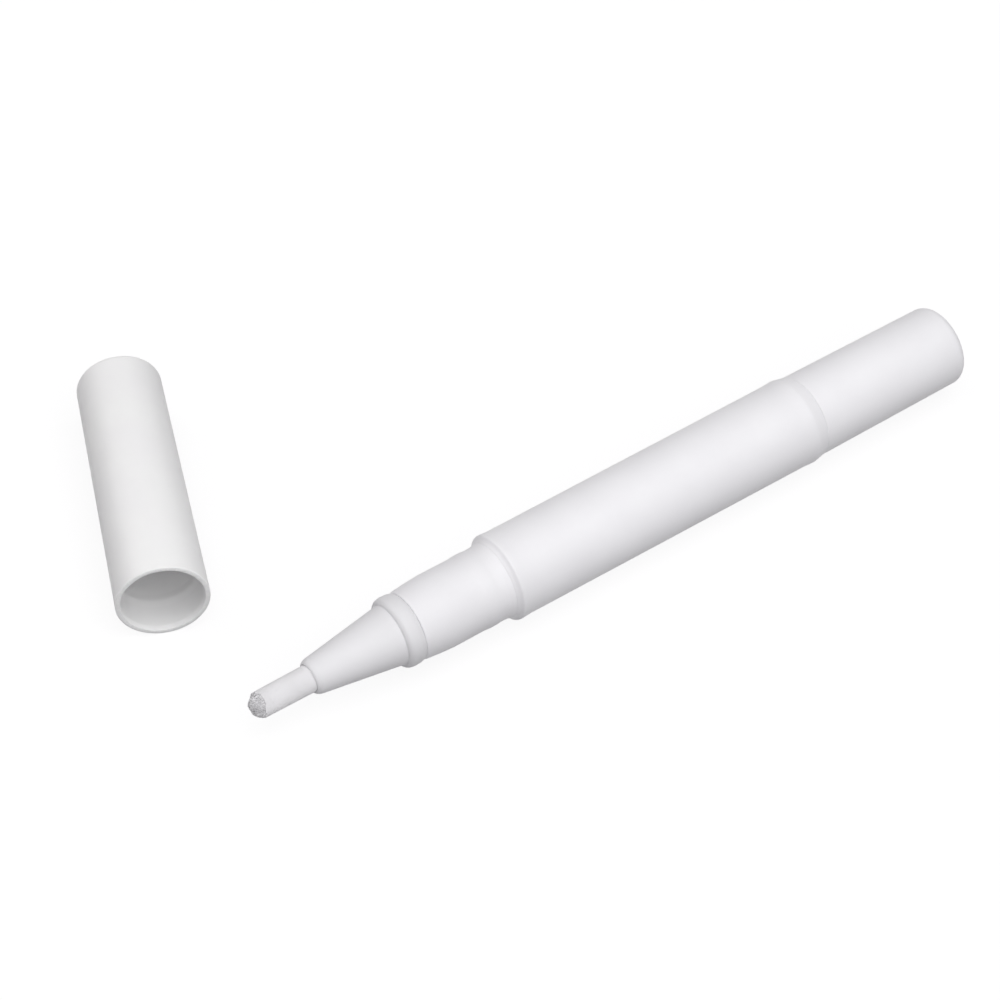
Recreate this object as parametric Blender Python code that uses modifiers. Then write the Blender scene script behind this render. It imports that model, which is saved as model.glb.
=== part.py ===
"""Nail treatment pen with a twist-up brush, lying on a table beside its cap.

The pen's own frame has its origin at the centre of the barrel's front face:
+X runs back to the turning knob and -X forward to the brush. The cap's own
frame has its origin at the centre of its mouth and +X towards its closed end.
All lengths are in metres.
"""
import math
import random

import bmesh
import bpy
from mathutils import Matrix, Vector

# Clearances shared by all the pieces
PRESS_GAP = 0.00005
RUN_GAP = 0.0001
CUT_OVERRUN = 0.0005

# How close two points must be to count as one, and how exactly a plane cuts
MERGE_DISTANCE = 0.000001
FINE_MERGE_DISTANCE = 0.0000001
CUT_TOLERANCE = 0.00000001

# Barrel: a drafted tube with a low lip at each end, ramped down to the knob
BARREL_LENGTH = 0.0466
BARREL_FRONT_RADIUS = 0.0055
BARREL_TAPER = 0.00005
BARREL_WALL = 0.00115
BARREL_EDGE_RADIUS = 0.00057
BARREL_LIP_HEIGHT = 0.00008
BARREL_LIP_LENGTH = 0.0003
BARREL_LIP_RUN = 0.0013
BARREL_RAMP_LENGTH = 0.0015
BARREL_RAMP_DROP = 0.00023

# Neck insert: the plug in the barrel's mouth and the collar that the cap grips
NECK_LENGTH = 0.01245
NECK_STEP = 0.00075
NECK_TAPER = 0.00033
NECK_EDGE_RADIUS = 0.00025
NECK_WALL = 0.0008
NECK_WEB = 0.0012
NECK_PASSAGE_RADIUS = 0.0012
SNAP_HEIGHT = 0.00005
SNAP_LENGTH = 0.0022
SNAP_SETBACK = 0.0017
PLUG_LENGTH = 0.0065
PLUG_WALL = 0.0014
SEAL_WIRE_RADIUS = 0.00033

# Nozzle cone: it carries the brush and plugs into the neck
NOZZLE_CONE_LENGTH = 0.0114
NOZZLE_RING_WIDTH = 0.00228
NOZZLE_RING_PROUD = 0.0001
NOZZLE_SHOULDER_DROP = 0.00059
NOZZLE_MOUTH_WALL = 0.00034
NOZZLE_MOUTH_LAND = 0.0001
NOZZLE_NOSE_LENGTH = 0.0007
NOZZLE_LIP_LENGTH = 0.0025
NOZZLE_SPIGOT_LENGTH = 0.0069

# Brush: a round tuft fused to a disc, its ferrule and the tube that feeds it
TUFT_REACH = 0.0081
TUFT_HOLD = 0.0042
TUFT_DOME_DROP = 0.00085
TUFT_RAGGEDNESS = 0.0002
TUFT_CORE_RADIUS = 0.00062
BACKING_THICKNESS = 0.0015
BACKING_SLICE = 0.0003
FERRULE_WALL = 0.00025
FEED_TUBE_RADIUS = 0.00038
FEED_TUBE_WALL = 0.00018
FEED_TUBE_REACH = 0.0021
FEED_FLANGE_THICKNESS = 0.0008

# Screw rod: a coarse thread with two flats and a head that the piston holds
ROD_HEAD_LENGTH = 0.0015
THREAD_LEAD = 0.0016
THREAD_DEPTH = 0.00045

# Piston: two wiping lips round a body that is clipped on the rod's head
PISTON_LENGTH = 0.0072
PISTON_NOSE_LENGTH = 0.0018
PISTON_LIP_HEIGHT = 0.00035
PISTON_REST_GAP = 0.0004
PISTON_CLIP_LENGTH = 0.0014
PISTON_POST_WALL = 0.0007
PISTON_SKIRT_WALL = 0.0007

# Turning gear: fixed nut, click ring with its spring, and drive sleeve
NUT_THREAD_LENGTH = 0.0041
NUT_SEAT_STEP = 0.0001
NUT_RECESS = 0.0002
NUT_LIP_THICKNESS = 0.0008
TOOTH_HEIGHT = 0.00035
CLICK_RING_THICKNESS = 0.0008
SPRING_LENGTH = 0.0019
SPRING_WIRE_RADIUS = 0.00014
COLLAR_THICKNESS = 0.0009
SLEEVE_WALL = 0.0006
SLEEVE_FLANGE_LENGTH = 0.0015

# Knob: a closed shell that is pressed on the drive sleeve
KNOB_LENGTH = 0.0223
KNOB_SEAM = 0.0001
KNOB_TAPER = 0.00016
KNOB_WALL = 0.0013
KNOB_END_WALL = 0.0014
KNOB_END_EDGE = 0.0013
KNOB_FRONT_EDGE = 0.00015
KNOB_SOCKET_WALL = 0.00075
KNOB_SOCKET_DEPTH = 0.0025

# Cap and the soft liner that keeps the brush moist
CAP_GAP = 0.00015
CAP_WALL = 0.00075
CAP_TAPER = 0.0004
CAP_LEAD_IN = 0.00016
CAP_LEAD_LENGTH = 0.0006
CAP_END_EDGE = 0.00065
CAP_END_WALL = 0.0012
CAP_SPARE_LENGTH = 0.0014
CAP_BEAD_HEIGHT = 0.00014
CAP_BEAD_LENGTH = 0.0012
CAP_DEEP_WALL = 0.00105
LINER_COLLAR_LENGTH = 0.0030
LINER_SEAT_LENGTH = 0.0012
LINER_WALL = 0.0006
LINER_CLEARANCE = 0.0003
LINER_END_WALL = 0.0006

# Where the cap lies, from the centre of the barrel's front face
CAP_AHEAD = 0.0337
CAP_ASIDE = 0.0199
CAP_AZIMUTH = math.radians(66.7)

# Counts, shares of named sizes, and the tuft's seed
SHELL_SEGMENTS = 32
INNER_SEGMENTS = 24
THREAD_STEPS = 12
ARC_STEPS = 4
CLICK_TEETH = 12
SPRING_TURNS = 3
SPRING_POINTS_PER_TURN = 14
SEAL_SIDES = 8
NECK_WAIST_SHARES = ((0.20, 0.29), (0.33, 0.0))
NOZZLE_NOSE_SHARES = ((0.21, 0.34), (0.49, 0.67), (0.77, 0.89), (1.0, 1.0))
SEAL_PLACE_SHARE = 0.45
ROD_SHARE = 0.4023
ROD_FLAT_SHARE = 0.7714
ROD_NECK_SHARE = 0.5143
CREST_SHARE = 0.22
FLANK_SHARE = 0.22
COLLAR_SHARE = 0.42
TOOTH_LEAN_SHARE = 0.35
TUFT_SHARE = 0.3182
STRAND_SPACING_SHARE = 0.1171
STRAND_GAP_SHARE = 0.19
STRAND_TIP_SHARE = 0.5
TUFT_CLOSED_SHARE = 0.42
PISTON_NOSE_SHARE = 0.3
DOME_POWER = 3
SMOOTH_ANGLE = math.radians(35)
TUFT_SEED = 7

# Radii that follow from the sizes above, from the outside inwards
barrel_rear_radius = BARREL_FRONT_RADIUS + BARREL_TAPER
barrel_lip_radius = barrel_rear_radius + BARREL_LIP_HEIGHT
bore_radius = BARREL_FRONT_RADIUS - BARREL_WALL
neck_radius = BARREL_FRONT_RADIUS - NECK_STEP
neck_front_radius = neck_radius - NECK_TAPER
snap_radius = neck_radius + SNAP_HEIGHT
plug_radius = bore_radius - PRESS_GAP
socket_radius = neck_front_radius - NECK_WALL
spigot_radius = socket_radius - PRESS_GAP
ring_radius = neck_front_radius + NOZZLE_RING_PROUD
cone_base_radius = neck_front_radius - NOZZLE_SHOULDER_DROP
tuft_radius = TUFT_SHARE * BARREL_FRONT_RADIUS
strand_spacing = STRAND_SPACING_SHARE * tuft_radius
strand_rim = tuft_radius - PRESS_GAP
ferrule_bore = tuft_radius + PRESS_GAP
ferrule_radius = ferrule_bore + FERRULE_WALL
channel_radius = ferrule_radius + PRESS_GAP
lip_bore = tuft_radius + RUN_GAP
mouth_radius = lip_bore + NOZZLE_MOUTH_WALL
rod_radius = ROD_SHARE * bore_radius
rod_flat = ROD_FLAT_SHARE * rod_radius
rod_neck_radius = ROD_NECK_SHARE * rod_radius
rod_head_radius = rod_radius - RUN_GAP
root_radius = rod_radius - THREAD_DEPTH
sleeve_bore = rod_radius + RUN_GAP
sleeve_flat = rod_flat + RUN_GAP
journal_radius = sleeve_bore + SLEEVE_WALL
journal_flat = sleeve_flat + SLEEVE_WALL
nut_radius = bore_radius + NUT_SEAT_STEP - PRESS_GAP
collar_radius = journal_radius + COLLAR_SHARE * (nut_radius - journal_radius)
skirt_radius = collar_radius + RUN_GAP
knob_radius = barrel_rear_radius - BARREL_RAMP_DROP
knob_bore = knob_radius - KNOB_WALL
cap_bore = snap_radius + CAP_GAP
cap_radius = cap_bore + CAP_WALL

# Places along the pen's axis, from the brush to the knob
neck_front = -NECK_LENGTH
ring_rear = neck_front - RUN_GAP
ring_front = ring_rear - NOZZLE_RING_WIDTH
mouth = ring_front - NOZZLE_CONE_LENGTH
tuft_tip = mouth - TUFT_REACH
chamber_front = mouth + NOZZLE_LIP_LENGTH
backing_front = mouth + TUFT_HOLD
backing_rear = backing_front + BACKING_THICKNESS
feed_front = backing_front - FEED_TUBE_REACH
feed_flange_front = backing_rear + RUN_GAP
feed_flange_rear = feed_flange_front + FEED_FLANGE_THICKNESS
spigot_rear = ring_rear + NOZZLE_SPIGOT_LENGTH
socket_rear = spigot_rear + RUN_GAP
cup_front = socket_rear + NECK_WEB
nut_rear = BARREL_LENGTH - NUT_RECESS
collar_rear = nut_rear - NUT_LIP_THICKNESS - RUN_GAP
collar_front = collar_rear - COLLAR_THICKNESS
ring_back = collar_front - SPRING_LENGTH
ring_body_front = ring_back - CLICK_RING_THICKNESS
ring_tooth_tip = ring_body_front - TOOTH_HEIGHT
nut_tooth_tip = ring_tooth_tip - RUN_GAP
web_rear = nut_tooth_tip - TOOTH_HEIGHT
nut_front = web_rear - NUT_THREAD_LENGTH
piston_rear = nut_front - PISTON_REST_GAP
piston_front = piston_rear - PISTON_LENGTH
thread_front = piston_rear + RUN_GAP
rod_head_rear = piston_rear - PISTON_CLIP_LENGTH - RUN_GAP
rod_head_front = rod_head_rear - ROD_HEAD_LENGTH
sleeve_front = web_rear + RUN_GAP
flange_front = BARREL_LENGTH + KNOB_SEAM + RUN_GAP
flange_rear = flange_front + SLEEVE_FLANGE_LENGTH
knob_front = BARREL_LENGTH + KNOB_SEAM
knob_rear = knob_front + KNOB_LENGTH
knob_floor = knob_rear - KNOB_END_WALL
sleeve_rear = knob_floor - RUN_GAP
rod_rear = sleeve_rear - RUN_GAP

# Depths inside the cap, from its mouth
cap_depth = -tuft_tip + CAP_SPARE_LENGTH
cap_length = cap_depth + CAP_END_WALL
cap_tilt = math.atan(CAP_TAPER / cap_length)
liner_front = -ring_front + LINER_SEAT_LENGTH


def clear_scene():
    for old in list(bpy.data.objects):
        bpy.data.objects.remove(old, do_unlink=True)


def new_collection(name):
    collection = bpy.data.collections.new(name)
    bpy.context.scene.collection.children.link(collection)
    return collection


def new_empty(name, location, rotation):
    empty = bpy.data.objects.new(name, None)
    empty.location = location
    empty.rotation_euler = rotation
    empty.empty_display_size = BARREL_FRONT_RADIUS
    PIECES.objects.link(empty)
    return empty


def finish(obj, frame, colour, roughness, metallic=0.0):
    """Put a piece in its frame and give it a material of its own."""
    material = bpy.data.materials.new(obj.name + "_finish")
    material.use_nodes = True
    shader = material.node_tree.nodes["Principled BSDF"]
    shader.inputs["Base Color"].default_value = (*colour, 1.0)
    shader.inputs["Roughness"].default_value = roughness
    shader.inputs["Metallic"].default_value = metallic
    obj.data.materials.clear()
    obj.data.materials.append(material)
    obj.parent = frame
    return obj


def evaluated_mesh(obj):
    """The mesh that an object's modifiers make, with the object itself removed."""
    view = bpy.context.evaluated_depsgraph_get()
    mesh = bpy.data.meshes.new_from_object(obj.evaluated_get(view))
    bpy.data.objects.remove(obj, do_unlink=True)
    return mesh


def add_object(name, mesh, collection):
    mesh.name = name
    mesh.shade_smooth()
    mesh.set_sharp_from_angle(angle=SMOOTH_ANGLE)
    obj = bpy.data.objects.new(name, mesh)
    collection.objects.link(obj)
    return obj


def make_cutter(name, mesh):
    obj = add_object(name, mesh, CUTTERS)
    obj.display_type = "WIRE"
    obj.hide_render = True
    return obj


def combine(obj, other, operation):
    """Cut another shape out of a piece, or fuse it to the piece."""
    modifier = obj.modifiers.new(other.name, "BOOLEAN")
    modifier.operation = operation
    modifier.object = other
    modifier.solver = "EXACT"
    other.parent = obj.parent


def arc(centre, radius, start, end, steps=ARC_STEPS):
    """Points of an arc in the plane of distance along the axis and radius."""
    points = []
    for step in range(steps + 1):
        angle = math.radians(start + (end - start) * step / steps)
        along = centre[0] + radius * math.cos(angle)
        points.append((along, centre[1] + radius * math.sin(angle)))
    return points


def signed_area(points):
    total = 0.0
    for (x0, r0), (x1, r1) in zip(points, points[1:] + points[:1]):
        total += x0 * r1 - x1 * r0
    return total / 2


def profile_mesh(points, closed):
    """Edges through points of distance and radius, in the order that turns outwards."""
    if signed_area(points) < 0:
        points = points[::-1]
    vertices = [(along, radius, 0.0) for along, radius in points]
    edges = [(i, i + 1) for i in range(len(points) - 1)]
    if closed:
        edges.append((len(points) - 1, 0))
    mesh = bpy.data.meshes.new("profile")
    mesh.from_pydata(vertices, edges, [])
    return mesh


def turned_mesh(points, segments, closed=True):
    """A shape turned about the X axis from points of distance and radius."""
    guide = bpy.data.objects.new("profile", profile_mesh(points, closed))
    PIECES.objects.link(guide)
    screw = guide.modifiers.new("turn", "SCREW")
    screw.axis = "X"
    screw.steps = segments
    screw.render_steps = segments
    screw.use_merge_vertices = True
    screw.merge_threshold = MERGE_DISTANCE
    return evaluated_mesh(guide)


def turned(name, points, segments, closed=True):
    return add_object(name, turned_mesh(points, segments, closed), PIECES)


def trim(mesh, along, keep_before):
    """Cut a mesh square to the X axis and close it there with one face."""
    bm = bmesh.new()
    bm.from_mesh(mesh)
    bmesh.ops.bisect_plane(
        bm,
        geom=bm.verts[:] + bm.edges[:] + bm.faces[:],
        dist=CUT_TOLERANCE,
        plane_co=(along, 0, 0),
        plane_no=(1, 0, 0) if keep_before else (-1, 0, 0),
        clear_outer=True,
    )
    bm.to_mesh(mesh)
    bm.free()


def thread_mesh(start, end, root, crest, widening):
    """A right-hand threaded bar about X, whose turns are counted from the pen's origin."""
    half_crest = CREST_SHARE * THREAD_LEAD / 2 + widening
    half_foot = half_crest + FLANK_SHARE * THREAD_LEAD
    first_turn = math.floor(start / THREAD_LEAD) - 1
    last_turn = math.ceil(end / THREAD_LEAD) + 1
    base = first_turn * THREAD_LEAD
    outline = [
        (base - half_foot, root),
        (base - half_crest, crest),
        (base + half_crest, crest),
        (base + half_foot, root),
        (base - half_foot + THREAD_LEAD, root),
    ]
    mesh = bpy.data.meshes.new("thread")
    vertices = [(along, radius, 0.0) for along, radius in outline]
    mesh.from_pydata(vertices, [(i, i + 1) for i in range(len(outline) - 1)], [])
    guide = bpy.data.objects.new("thread", mesh)
    PIECES.objects.link(guide)
    screw = guide.modifiers.new("thread", "SCREW")
    screw.axis = "X"
    screw.steps = THREAD_STEPS
    screw.render_steps = THREAD_STEPS
    screw.screw_offset = THREAD_LEAD
    screw.iterations = last_turn - first_turn
    bar = evaluated_mesh(guide)
    weld(bar)
    trim(bar, start, keep_before=False)
    trim(bar, end, keep_before=True)
    close_holes(bar)
    return bar


def weld(mesh):
    bm = bmesh.new()
    bm.from_mesh(mesh)
    bmesh.ops.remove_doubles(bm, verts=bm.verts[:], dist=MERGE_DISTANCE)
    bm.to_mesh(mesh)
    bm.free()


def close_holes(mesh):
    """Fill open ends and point all the faces outwards."""
    bm = bmesh.new()
    bm.from_mesh(mesh)
    bmesh.ops.holes_fill(bm, edges=bm.edges[:])
    bmesh.ops.recalc_face_normals(bm, faces=bm.faces[:])
    bm.to_mesh(mesh)
    bm.free()


def flatted_bar(radius, flat, start, end):
    """A round bar along X with two flats that face +Y and -Y."""
    bm = bmesh.new()
    middle = Matrix.Translation(((start + end) / 2, 0, 0))
    half_facet = Matrix.Rotation(math.pi / INNER_SEGMENTS, 4, "X")
    bmesh.ops.create_cone(
        bm,
        cap_ends=True,
        segments=INNER_SEGMENTS,
        radius1=radius,
        radius2=radius,
        depth=end - start,
        matrix=middle @ half_facet @ Matrix.Rotation(math.pi / 2, 4, "Y"),
    )
    for side in (1, -1):
        bmesh.ops.bisect_plane(
            bm,
            geom=bm.verts[:] + bm.edges[:] + bm.faces[:],
            dist=CUT_TOLERANCE,
            plane_co=(0, side * flat, 0),
            plane_no=(0, side, 0),
            clear_outer=True,
        )
    mesh = bpy.data.meshes.new("flatted_bar")
    bm.to_mesh(mesh)
    bm.free()
    close_holes(mesh)
    return mesh


def box_mesh(low, high):
    bm = bmesh.new()
    middle = (Vector(low) + Vector(high)) / 2
    size = Vector(high) - Vector(low)
    bmesh.ops.create_cube(bm, size=1, matrix=Matrix.Translation(middle) @ Matrix.Diagonal((*size, 1)))
    mesh = bpy.data.meshes.new("box")
    bm.to_mesh(mesh)
    bm.free()
    return mesh


def toothed_ring(inner, outer, back, face, tip):
    """A ring with sawteeth on one end: face is the teeth's foot, tip their crest."""
    profile = [(back, inner), (back, outer), (face, outer), (face, inner)]
    mesh = turned_mesh(profile, 2 * CLICK_TEETH)
    pitch = 2 * math.pi / CLICK_TEETH
    for vertex in mesh.vertices:
        if abs(vertex.co.x - face) > abs(vertex.co.x - back):
            continue
        column = round(math.atan2(vertex.co.z, vertex.co.y) / (pitch / 2))
        if column % 2:
            turn = Matrix.Rotation(TOOTH_LEAN_SHARE * pitch, 3, "X")
            vertex.co = turn @ vertex.co
            vertex.co.x = tip
    mesh.transform(Matrix.Rotation(TOOTH_LEAN_SHARE * pitch / 2, 4, "X"))
    return mesh


def nozzle_radius_at(along):
    """Outer radius of the nozzle's cone at a place on the pen's axis."""
    share = (along - mouth) / (ring_front - mouth)
    return mouth_radius + (cone_base_radius - mouth_radius) * share


def cap_outer_at(depth):
    return cap_radius - CAP_TAPER * depth / cap_length


def make_barrel(pen):
    edge = min(BARREL_EDGE_RADIUS, BARREL_WALL / 2)
    seat = bore_radius + NUT_SEAT_STEP
    front_lip_radius = BARREL_FRONT_RADIUS + BARREL_LIP_HEIGHT
    ramp_start = BARREL_LENGTH - BARREL_RAMP_LENGTH
    points = [(0.0, bore_radius)]
    points += arc((edge, front_lip_radius - edge), edge, 180, 90)
    points += [
        (edge + BARREL_LIP_LENGTH, front_lip_radius),
        (edge + BARREL_LIP_LENGTH + BARREL_LIP_RUN, BARREL_FRONT_RADIUS),
        (ramp_start - BARREL_LIP_LENGTH - BARREL_LIP_RUN, barrel_rear_radius),
        (ramp_start - BARREL_LIP_LENGTH, barrel_lip_radius),
        (ramp_start, barrel_lip_radius),
        (BARREL_LENGTH, knob_radius),
        (BARREL_LENGTH, seat),
        (nut_front - RUN_GAP, seat),
        (nut_front - RUN_GAP, bore_radius),
    ]
    finish(turned("barrel", points, SHELL_SEGMENTS), pen, (0.90, 0.90, 0.92), 0.38)


def make_neck(pen):
    cup_radius = plug_radius - PLUG_WALL
    groove_floor = plug_radius - 2 * SEAL_WIRE_RADIUS - PRESS_GAP
    groove_middle = SEAL_PLACE_SHARE * PLUG_LENGTH
    groove_half = SEAL_WIRE_RADIUS + RUN_GAP
    snap_rear = -SNAP_SETBACK
    snap_middle = snap_rear - SNAP_LENGTH / 2
    edge = NECK_EDGE_RADIUS
    points = [(cup_front, cup_radius), (cup_front, NECK_PASSAGE_RADIUS)]
    points += [(socket_rear, NECK_PASSAGE_RADIUS), (socket_rear, socket_radius), (neck_front, socket_radius)]
    points += arc((neck_front + edge, neck_front_radius - edge), edge, 180, 90)
    for along_share, drop_share in NECK_WAIST_SHARES:
        points.append((neck_front + along_share * NECK_LENGTH, neck_radius - drop_share * NECK_TAPER))
    points += [
        (snap_rear - SNAP_LENGTH, neck_radius - SNAP_HEIGHT / 2),
        (snap_middle - SNAP_LENGTH / 4, snap_radius),
        (snap_middle + SNAP_LENGTH / 4, snap_radius),
        (snap_rear, neck_radius - SNAP_HEIGHT / 2),
        (snap_rear / 2, snap_radius),
        (-RUN_GAP, neck_radius),
        (-RUN_GAP, plug_radius),
        (groove_middle - groove_half, plug_radius),
        (groove_middle - groove_half, groove_floor),
        (groove_middle + groove_half, groove_floor),
        (groove_middle + groove_half, plug_radius),
        (PLUG_LENGTH - PLUG_WALL / 2, plug_radius),
        (PLUG_LENGTH, plug_radius - PLUG_WALL / 4),
        (PLUG_LENGTH, cup_radius),
    ]
    finish(turned("neck_insert", points, SHELL_SEGMENTS), pen, (0.88, 0.88, 0.90), 0.36)
    ring = []
    seal_centre = (groove_middle, plug_radius - SEAL_WIRE_RADIUS)
    ring += arc(seal_centre, SEAL_WIRE_RADIUS, 0, 360, SEAL_SIDES)[:-1]
    finish(turned("neck_seal", ring, INNER_SEGMENTS), pen, (0.16, 0.16, 0.17), 0.6)


def make_nozzle(pen):
    land_radius = lip_bore + NOZZLE_MOUTH_LAND
    nose_end = mouth + NOZZLE_NOSE_LENGTH
    nose_rise = nozzle_radius_at(nose_end) - land_radius
    half_ring = NOZZLE_RING_WIDTH / 2
    bead = half_ring / 2
    ring_middle = ring_rear - half_ring
    points = [(chamber_front, channel_radius), (chamber_front, lip_bore), (mouth, lip_bore)]
    points.append((mouth, land_radius))
    for along_share, rise_share in NOZZLE_NOSE_SHARES:
        points.append((mouth + along_share * NOZZLE_NOSE_LENGTH, land_radius + rise_share * nose_rise))
    points.append((ring_front, cone_base_radius))
    points += arc((ring_middle - bead, ring_radius - bead), bead, 165, 90, 3)
    points += arc((ring_middle + bead, ring_radius - bead), bead, 90, 15, 3)
    points += [
        (ring_rear, spigot_radius),
        (spigot_rear, spigot_radius),
        (spigot_rear, channel_radius),
    ]
    finish(turned("nozzle_cone", points, SHELL_SEGMENTS), pen, (0.90, 0.90, 0.91), 0.34)


def make_brush(pen):
    ferrule = [
        (chamber_front + RUN_GAP, ferrule_bore),
        (chamber_front + RUN_GAP, ferrule_radius),
        (backing_rear, ferrule_radius),
        (backing_rear, ferrule_bore),
    ]
    finish(turned("brush_ferrule", ferrule, INNER_SEGMENTS), pen, (0.80, 0.81, 0.82), 0.35)
    feed_bore = FEED_TUBE_RADIUS - FEED_TUBE_WALL
    feed = [
        (feed_front, feed_bore),
        (feed_front, FEED_TUBE_RADIUS),
        (feed_flange_front, FEED_TUBE_RADIUS),
        (feed_flange_front, ferrule_radius),
        (feed_flange_rear, ferrule_radius),
        (feed_flange_rear, TUFT_CORE_RADIUS),
        (feed_flange_front, feed_bore),
    ]
    finish(turned("feed_tube", feed, INNER_SEGMENTS), pen, (0.78, 0.80, 0.82), 0.3)
    make_tuft(pen)


def make_tuft(pen):
    """Strands raised from the cells of a triangle lattice and fused to a round backing."""
    hole = FEED_TUBE_RADIUS + RUN_GAP
    disc = [
        (backing_front + BACKING_SLICE / 2, hole),
        (backing_front + BACKING_SLICE / 2, tuft_radius),
        (backing_rear, tuft_radius),
        (backing_rear, hole),
    ]
    tuft = turned("brush_bristles", disc, INNER_SEGMENTS)
    finish(tuft, pen, (0.86, 0.86, 0.87), 0.45)
    combine(tuft, make_cutter("bristle_field", strand_mesh()), "UNION")


def lattice_cells():
    """Triangles of a lattice that lie between the tuft's core and its rim."""
    row_height = strand_spacing * math.sqrt(3) / 2
    reach = math.ceil(tuft_radius / row_height) + 1

    def corner(column, row):
        return Vector(((column + row / 2) * strand_spacing, row * row_height, 0.0))

    cells = []
    for row in range(-reach, reach):
        for column in range(-2 * reach, 2 * reach):
            upward = (corner(column, row), corner(column + 1, row), corner(column, row + 1))
            downward = (corner(column + 1, row), corner(column + 1, row + 1), corner(column, row + 1))
            for cell in (upward, downward):
                distances = [point.length for point in cell]
                if min(distances) >= TUFT_CORE_RADIUS and max(distances) <= strand_rim:
                    cells.append(cell)
    return cells


def strand_mesh():
    rng = random.Random(TUFT_SEED)
    bm = bmesh.new()
    for cell in lattice_cells():
        bm.faces.new([bm.verts.new(point) for point in cell])
    bmesh.ops.remove_doubles(bm, verts=bm.verts[:], dist=FINE_MERGE_DISTANCE)
    field = bm.faces[:]
    raised = bmesh.ops.extrude_face_region(bm, geom=field, use_keep_orig=True)
    for vertex in (item for item in raised["geom"] if isinstance(item, bmesh.types.BMVert)):
        vertex.co.z += BACKING_SLICE
    top = [item for item in raised["geom"] if isinstance(item, bmesh.types.BMFace)]
    half_gap = STRAND_GAP_SHARE * strand_spacing / math.sqrt(12)
    bmesh.ops.inset_individual(bm, faces=top, thickness=half_gap)
    strands = bmesh.ops.extrude_discrete_faces(bm, faces=top)["faces"]
    for face in strands:
        shape_strand(face, rng)
    bmesh.ops.recalc_face_normals(bm, faces=bm.faces[:])
    turn = Matrix.Rotation(-math.pi / 2, 4, "Y")
    start = Matrix.Translation((backing_front + BACKING_SLICE, 0, 0))
    bmesh.ops.transform(bm, matrix=start @ turn, verts=bm.verts[:])
    mesh = bpy.data.meshes.new("strands")
    bm.to_mesh(mesh)
    bm.free()
    return mesh


def shape_strand(face, rng):
    """Stretch one strand to the domed end, draw it in and give it a ragged length."""
    centre = face.calc_center_median()
    distance = math.hypot(centre.x, centre.y)
    farthest = max(math.hypot(vertex.co.x, vertex.co.y) for vertex in face.verts)
    outward = (farthest - TUFT_CORE_RADIUS) / (strand_rim - TUFT_CORE_RADIUS)
    share = (TUFT_CLOSED_SHARE * TUFT_CORE_RADIUS * (1 - outward) + tuft_radius * outward) / distance
    length = TUFT_REACH + TUFT_HOLD - TUFT_DOME_DROP * outward ** DOME_POWER
    length -= TUFT_RAGGEDNESS * rng.random()
    for vertex in face.verts:
        offset = vertex.co - centre
        vertex.co.x = centre.x * share + offset.x * STRAND_TIP_SHARE
        vertex.co.y = centre.y * share + offset.y * STRAND_TIP_SHARE
        vertex.co.z = BACKING_SLICE + length


def make_piston(pen):
    wall_radius = bore_radius - RUN_GAP - PISTON_LIP_HEIGHT
    lip_radius = bore_radius - RUN_GAP
    chamber = rod_head_radius + RUN_GAP
    clip = rod_neck_radius + RUN_GAP
    clip_front = piston_rear - PISTON_CLIP_LENGTH
    chamber_end = rod_head_front - RUN_GAP
    post = chamber + PISTON_POST_WALL
    skirt = wall_radius - PISTON_SKIRT_WALL
    nose_rear = piston_front + PISTON_NOSE_LENGTH
    lip = PISTON_NOSE_LENGTH / 3
    points = [
        (chamber_end, 0.0),
        (chamber_end, chamber),
        (clip_front, chamber),
        (clip_front, clip),
        (piston_rear, clip),
        (piston_rear, post),
        (rod_head_front, post),
        (rod_head_front, skirt),
        (piston_rear, skirt),
        (piston_rear, lip_radius),
        (piston_rear - lip, lip_radius),
        (piston_rear - 2 * lip, wall_radius),
        (nose_rear + 2 * lip, wall_radius),
        (nose_rear + lip, lip_radius),
        (nose_rear, lip_radius),
        (piston_front, PISTON_NOSE_SHARE * wall_radius),
        (piston_front, 0.0),
    ]
    finish(turned("piston", points, INNER_SEGMENTS, closed=False), pen, (0.82, 0.83, 0.84), 0.4)


def make_rod(pen):
    bar = thread_mesh(thread_front, rod_rear, root_radius, rod_radius, 0.0)
    rod = add_object("screw_rod", bar, PIECES)
    stub = THREAD_LEAD / 2
    head = [
        (rod_head_front, 0.0),
        (rod_head_front, rod_head_radius - RUN_GAP),
        (rod_head_front + RUN_GAP, rod_head_radius),
        (rod_head_rear, rod_head_radius),
        (rod_head_rear, rod_neck_radius),
        (thread_front + stub, rod_neck_radius),
        (thread_front + stub, 0.0),
    ]
    finish(rod, pen, (0.88, 0.88, 0.86), 0.35)
    combine(rod, make_cutter("rod_head", turned_mesh(head, INNER_SEGMENTS, closed=False)), "UNION")
    over = rod_radius + CUT_OVERRUN
    for name, side in (("rod_flat_left", 1), ("rod_flat_right", -1)):
        low = (thread_front, min(side * rod_flat, side * over), -over)
        high = (rod_rear + CUT_OVERRUN, max(side * rod_flat, side * over), over)
        combine(rod, make_cutter(name, box_mesh(low, high)), "DIFFERENCE")


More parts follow.
